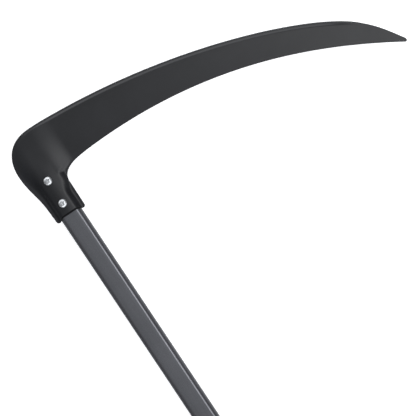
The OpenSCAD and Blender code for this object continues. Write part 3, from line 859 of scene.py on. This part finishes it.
# side is 1 for the front half and -1 for the rear one
def mouldClampHalf(side):
    c = clamp
    width, depth = tubeHigh.x - tubeLow.x, tubeHigh.z - tubeLow.z
    shell = roundedBar(width + 2 * c["wall"], depth + 2 * c["wall"], tube["radius"] + c["wall"],
                       clampLow.y, clampHigh.y, 10)
    ears = c["earHeight"] + c["split"] / 2
    weld(shell, addBlock((clampLow.x, clampLow.y, -ears), (clampHigh.x, clampHigh.y, ears)))
    if side > 0:
        for x in (c["fork"], -c["fork"] - c["lugWidth"]):
            lug = layAlongX(addRod(c["lug"], 0, c["lugWidth"], vertices=64), (x, c["y"], c["pivotZ"]))
            weld(lug, addBlock((x, c["y"] - c["lug"], depth / 2 + c["lugFoot"]),
                               (x + c["lugWidth"], c["y"] + c["lug"], c["pivotZ"])))
            weld(shell, lug)
    cutter = roundedBar(width + 2 * c["gap"], depth + 2 * c["gap"], tube["radius"] + c["gap"],
                        clampLow.y - past, clampHigh.y + past, 10)
    cutAway(shell, cutter)
    near, far = sorted((side * c["split"] / 2, -side * through))
    otherHalf = addBlock((-through, clampLow.y - through, near), (through, clampHigh.y + through, far))
    cutAway(shell, otherHalf)
    for x in (-c["earX"], c["earX"]):
        cutAway(shell, addRod(c["bore"], -through, through, (x, c["y"])))
    if side > 0:
        cutAway(shell, layAlongX(addRod(c["pin"], -through, through), (0, c["y"], c["pivotZ"])))
    softenEdges(shell, c["round"], 3, 40)
    return shell


finishPiece(mouldClampHalf(1), "clampFront", "grip_clamp", "clamp_front", plastic, 35)
finishPiece(mouldClampHalf(-1), "clampRear", "grip_clamp", "clamp_rear", plastic, 35)
print("clamp halves moulded")


def makeClampFasteners():
    c, n = clamp, fastener
    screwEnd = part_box("clamp_screws")[0].z
    ears = c["earHeight"] + c["split"] / 2
    screws, nuts = [], []
    for x in (-c["earX"], c["earX"]):
        screws.append(makePanScrew((x, c["y"], ears), (ears - screwEnd) / mm))
        nut = makeHexagon(n["nutFlats"] * mm, -ears - n["nutHeight"] * mm, -ears)
        cutAway(nut, addRod(n["nutBore"] * mm, -through, through))
        softenEdges(nut, 0.08 * mm, 2, 25)
        nut.location = (x, c["y"], 0)
        nuts.append(nut)
    finishPiece(joinPieces(*screws), "clampScrews", "grip_clamp", "clamp_screws", None, 30)
    finishPiece(joinPieces(*nuts), "clampNuts", "grip_clamp", "clamp_nuts", zinc, 30)


makeClampFasteners()

# bolt, washer and wing nut on the tilt axis, measures in millimetres along +X
tiltBolt = {
    "radius": 3, "flats": 10, "headHeight": 4, "pitch": 1, "thread": 0.35, "threaded": 14,
    "rooted": 0.5, "tip": 1, "tipIn": 0.7,
    "washer": 7, "washerHeight": 1.2, "washerX": 10.4,
    "hub": 6, "hubTop": 5.2, "hubHeight": 8,
    "wing": 15, "wingThick": 2.6, "wingHeight": 12, "wingRound": 0.9,
}


def makeTiltBolt():
    t = tiltBolt
    low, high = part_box("pivot_bolt")
    headEnd = low.x / mm + t["headHeight"]
    length = high.x / mm - headEnd
    r = t["radius"]
    outline = [(0, -t["rooted"]), (r, -t["rooted"]), (r, length - t["threaded"])]
    for i in range(t["threaded"] - 1):
        z = length - t["threaded"] + i * t["pitch"]
        outline += [(r, z), (r - t["thread"], z + 0.5 * t["pitch"])]
    outline += [(r, length - t["tip"]), (r - t["tipIn"], length), (0, length)]
    shank = turnOutline([(a * mm, b * mm) for a, b in outline], steps=40)
    bolt = weld(makeHexagon(t["flats"] * mm, -t["headHeight"] * mm, 0), shank)
    layAlongX(bolt, (headEnd * mm, clamp["y"], clamp["pivotZ"]))
    return finishPiece(bolt, "pivotBolt", "grip_clamp", "pivot_bolt", zinc, 30)


def makeWingNut():
    t = tiltBolt
    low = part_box("wing_nut")[0]
    hub, top, height = t["hub"] * mm, t["hubTop"] * mm, t["hubHeight"] * mm
    foot, crown = 0.4 * mm, 0.6 * mm
    nut = turnOutline([(0, 0), (hub - foot, 0), (hub, foot), (hub, 2 * mm), (top, height - crown),
                       (top - crown, height), (0, height)])
    reach, rise = t["wing"] * mm, t["wingHeight"] * mm
    corners = [(0.5 * hub, 0), (0.6 * reach, 1 * mm), (0.86 * reach, 3.6 * mm), (reach, 0.62 * rise),
               (0.99 * reach, 0.88 * rise), (0.9 * reach, rise), (0.74 * reach, rise),
               (0.5 * reach, 0.8 * rise), (0.5 * hub, 0.86 * height)]
    for turn in (0, math.pi):
        wing = drawPlate(corners, t["wingThick"] * mm)
        softenEdges(wing, t["wingRound"] * mm, 4, 40)
        wing.rotation_euler.z = turn
        pick(wing)
        bpy.ops.object.transform_apply(location=True, rotation=True, scale=True)
        weld(nut, wing)
    cutAway(nut, addRod(clamp["pin"], -through, through))
    layAlongX(nut, (low.x, clamp["y"], clamp["pivotZ"]))
    return finishPiece(nut, "wingNut", "lock_wing", "wing_nut", zinc, 40)


makeTiltBolt()
makeWingNut()
washer = makeWasher(tiltBolt["washer"] * mm, clamp["pin"], tiltBolt["washerHeight"] * mm)
layAlongX(washer, (tiltBolt["washerX"] * mm, clamp["y"], clamp["pivotZ"]))
finishPiece(washer, "gripWasher", "grip_clamp", "grip_washer", zinc)
print("clamp fasteners made")

# tilting post with its eye, rubber handle on it and a cap; measures in millimetres above the tilt axis
sideGrip = {
    "eyeHalf": 5, "eyeEdge": 0.5, "post": 4.8, "postFoot": 4, "postTop": 118, "postEdge": 0.6,
    "start": 18, "top": 126, "bore": 4.85, "flange": 18, "flangeHeight": 5, "radius": 13, "swell": 2.5,
    "edge": 1, "edgeMiddle": 0.3,
    "ringStart": 3, "rings": 13, "ringWidth": 3, "ringDepth": 0.8, "ringEdge": 0.5, "ringFloor": 0.45,
    "ringLip": 0.12, "pocket": 9, "pocketDepth": 6, "capTop": 131, "capEdge": 0.5,
}


def makeGripPost():
    g, c = sideGrip, clamp
    half, edge, radius = g["eyeHalf"] * mm, g["eyeEdge"] * mm, c["eye"]
    eye = turnOutline([(0, -half), (radius - edge, -half), (radius, -half + edge), (radius, half - edge),
                       (radius - edge, half), (0, half)], steps=72)
    layAlongX(eye, (0, c["y"], c["pivotZ"]))
    foot, top, radius, edge = [g[key] * mm for key in ("postFoot", "postTop", "post", "postEdge")]
    stem = turnOutline([(0, foot), (radius, foot), (radius, top - edge), (radius - edge, top), (0, top)])
    stem.location = (0, c["y"], c["pivotZ"])
    post = weld(eye, stem)
    cutAway(post, layAlongX(addRod(c["pin"], -through, through), (0, c["y"], c["pivotZ"])))
    return finishPiece(post, "gripPost", "grip_handle", "grip_post", zinc, 30)


def mouldSideGrip():
    g = sideGrip
    start, top, flange, radius = g["start"], g["top"], g["flange"], g["radius"]
    edge, middle = g["edge"], g["edgeMiddle"]
    foot, pocketEnd = start + g["flangeHeight"], top - g["pocketDepth"]
    pitch = (top - foot - 2 * g["ringStart"]) / g["rings"]
    outline = [(g["bore"], start), (flange - edge, start), (flange - middle, start + middle),
               (flange, start + edge), (flange, foot - edge), (flange - middle, foot - middle),
               (flange - edge, foot), (radius + 1.2, foot + 0.2), (radius, foot + 1.4)]
    half = g["ringWidth"] / 2
    floor, outer, lip = g["ringFloor"] * half, half + g["ringEdge"], g["ringLip"]
    for i in range(g["rings"]):
        z = foot + g["ringStart"] + (i + 0.5) * pitch
        r = radius + g["swell"] * math.sin(math.pi * (z - foot) / (top - foot))
        deep = r - g["ringDepth"]
        outline += [(r, z - outer), (r - lip, z - half), (deep, z - floor),
                    (deep, z + floor), (r - lip, z + half), (r, z + outer)]
    outline += [(radius, top - edge), (radius - middle, top - middle), (radius - edge, top),
                (g["pocket"], top), (g["pocket"], pocketEnd), (g["bore"], pocketEnd), (g["bore"], start)]
    grip = turnOutline([(a * mm, b * mm) for a, b in outline], steps=64)
    grip.location = (0, clamp["y"], clamp["pivotZ"])
    return finishPiece(grip, "sideGrip", "grip_handle", "side_grip", rubber, 50)


def mouldGripCap():
    g = sideGrip
    r, neck, edge = g["radius"], g["pocket"] - 0.05, g["capEdge"]
    root, rim = g["top"] - g["pocketDepth"] + 0.2, g["top"] + 0.1
    domeStart = g["top"] + 1
    outline = [(0, root), (neck, root), (neck, rim), (r - edge, rim), (r, rim + edge), (r, domeStart)]
    for i in range(1, 9):
        turn = math.radians(10 * i)
        outline.append((r * math.cos(turn), domeStart + (g["capTop"] - domeStart) * math.sin(turn)))
    outline.append((0, g["capTop"]))
    cap = turnOutline([(a * mm, b * mm) for a, b in outline], steps=64)
    cap.location = (0, clamp["y"], clamp["pivotZ"])
    return finishPiece(cap, "sideGripCap", "grip_handle", "side_grip_cap", plastic, 50)


makeGripPost()
mouldSideGrip()
mouldGripCap()
print("side grip moulded")

# the plug and the nuts' rings stay as they are inside the tube and the nuts
for node, material in (("tube_plug", plugPlastic), ("lock_nut_rings", nylon)):
    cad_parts[node].data.materials.clear()
    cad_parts[node].data.materials.append(material)

# plain pale floor, a light tent that is brighter on the blade's side, and a straight view down on the head
stage = {
    "floorSize": 8, "floorY": 0.6, "floorColour": (0.93, 0.93, 0.93, 1),
    "floorMirrored": (0.4, 0.4, 0.4, 1), "floorGlow": 0.6,
    "tent": [(-90, 0.09), (-60, 0.14), (-12, 0.32), (0, 0.57), (9, 1.1), (28, 1.35), (40, 0.55), (60, 0.18),
             (90, 0.12)],
    "tentTint": (0.95, 0.965, 1.0),
    "tentEnds": [(2.2, -0.4, -0.8), (1.6, 0.35, 0.75)],
    "keyTilt": 20, "keyDistance": 2.6, "keyWidth": 0.5, "keyLength": 3.6, "keyPower": 11,
    "viewWidth": 453.4 * mm, "lens": 100, "sensor": 36,
    "centre": (128.4 * mm, head["originY"] - 77.6 * mm),
    "handleLean": 33.65,
}


# the floor glows for the eye and is dimmer in reflections
def layFloor():
    deselectAll()
    bpy.ops.mesh.primitive_plane_add(size=stage["floorSize"], location=(0, stage["floorY"], cadLow[2]))
    floor = bpy.context.object
    floor.name = "floor"
    material, tree, shader = newMaterial("paleFloor")
    path = tree.nodes.new("ShaderNodeLightPath").outputs
    colour = mixColour(tree, path["Is Glossy Ray"], stage["floorColour"], stage["floorMirrored"])
    tree.links.new(colour, shader.inputs["Base Color"])
    glow = addNode(tree, "ShaderNodeMath", {"operation": "MULTIPLY"},
                   i0=path["Is Camera Ray"], i1=stage["floorGlow"])
    tree.links.new(glow.outputs[0], shader.inputs["Emission Strength"])
    shader.inputs["Roughness"].default_value = 0.9
    shader.inputs["Specular IOR Level"].default_value = 0.1
    shader.inputs["Emission Color"].default_value = (1, 1, 1, 1)
    floor.data.materials.append(material)


# the tent's brightness goes by the angle from straight overhead towards the blade's side, and its two
# ends along the handle are brighter: each end has a brightness and where along Y it starts and is full
def pitchTent():
    world = bpy.data.worlds.new("tent")
    bpy.context.scene.world = world
    world.use_nodes = True
    tree = world.node_tree
    ray = addNode(tree, "ShaderNodeTexCoord").outputs["Generated"]
    parts = addNode(tree, "ShaderNodeSeparateXYZ", Vector=ray)
    tilt = addNode(tree, "ShaderNodeMath", {"operation": "ARCTAN2"},
                   i0=parts.outputs["X"], i1=parts.outputs["Z"]).outputs[0]
    part = addNode(tree, "ShaderNodeMapRange", i0=tilt, i1=-math.pi / 2, i2=math.pi / 2, i3=0.0, i4=1.0)
    ramp = addNode(tree, "ShaderNodeValToRGB", Fac=part.outputs[0])
    stops = ramp.color_ramp.elements
    while len(stops) < len(stage["tent"]):
        stops.new(0.5)
    brightest = max(value for angle, value in stage["tent"])
    for stop, (angle, value) in zip(stops, stage["tent"]):
        stop.position = angle / 180 + 0.5
        stop.color = (*[value / brightest * tint for tint in stage["tentTint"]], 1)
    back = tree.nodes["Background"]
    colour = ramp.outputs["Color"]
    for value, start, full in stage["tentEnds"]:
        share = addNode(tree, "ShaderNodeMapRange", {"interpolation_type": "SMOOTHSTEP"},
                        i0=parts.outputs["Y"], i1=start, i2=full, i3=0.0, i4=1.0).outputs[0]
        bright = [value / brightest * tint for tint in stage["tentTint"]]
        colour = mixColour(tree, share, colour, (*bright, 1))
    tree.links.new(colour, back.inputs["Color"])
    back.inputs["Strength"].default_value = brightest


def hangKeyLight():
    deselectAll()
    tilt = math.radians(stage["keyTilt"])
    x, y = stage["centre"]
    reach = stage["keyDistance"]
    bpy.ops.object.light_add(type="AREA", location=(x + reach * math.sin(tilt), y, reach * math.cos(tilt)))
    lamp = bpy.context.object
    lamp.name = "keySoftbox"
    lamp.rotation_euler = (0, tilt, 0)
    lamp.data.shape = "RECTANGLE"
    lamp.data.size = stage["keyWidth"]
    lamp.data.size_y = stage["keyLength"]
    lamp.data.energy = stage["keyPower"]


def placeCamera():
    deselectAll()
    distance = stage["viewWidth"] * stage["lens"] / stage["sensor"]
    x, y = stage["centre"]
    bpy.ops.object.camera_add(location=(x, y, head["webZ"] * mm + distance))
    camera = bpy.context.object
    camera.data.lens = stage["lens"]
    camera.data.sensor_width = stage["sensor"]
    camera.rotation_euler = (0, 0, -math.radians(stage["handleLean"]))
    bpy.context.scene.camera = camera


layFloor()
pitchTent()
hangKeyLight()
placeCamera()
bpy.context.scene.view_settings.view_transform = "Standard"
print("stage set")
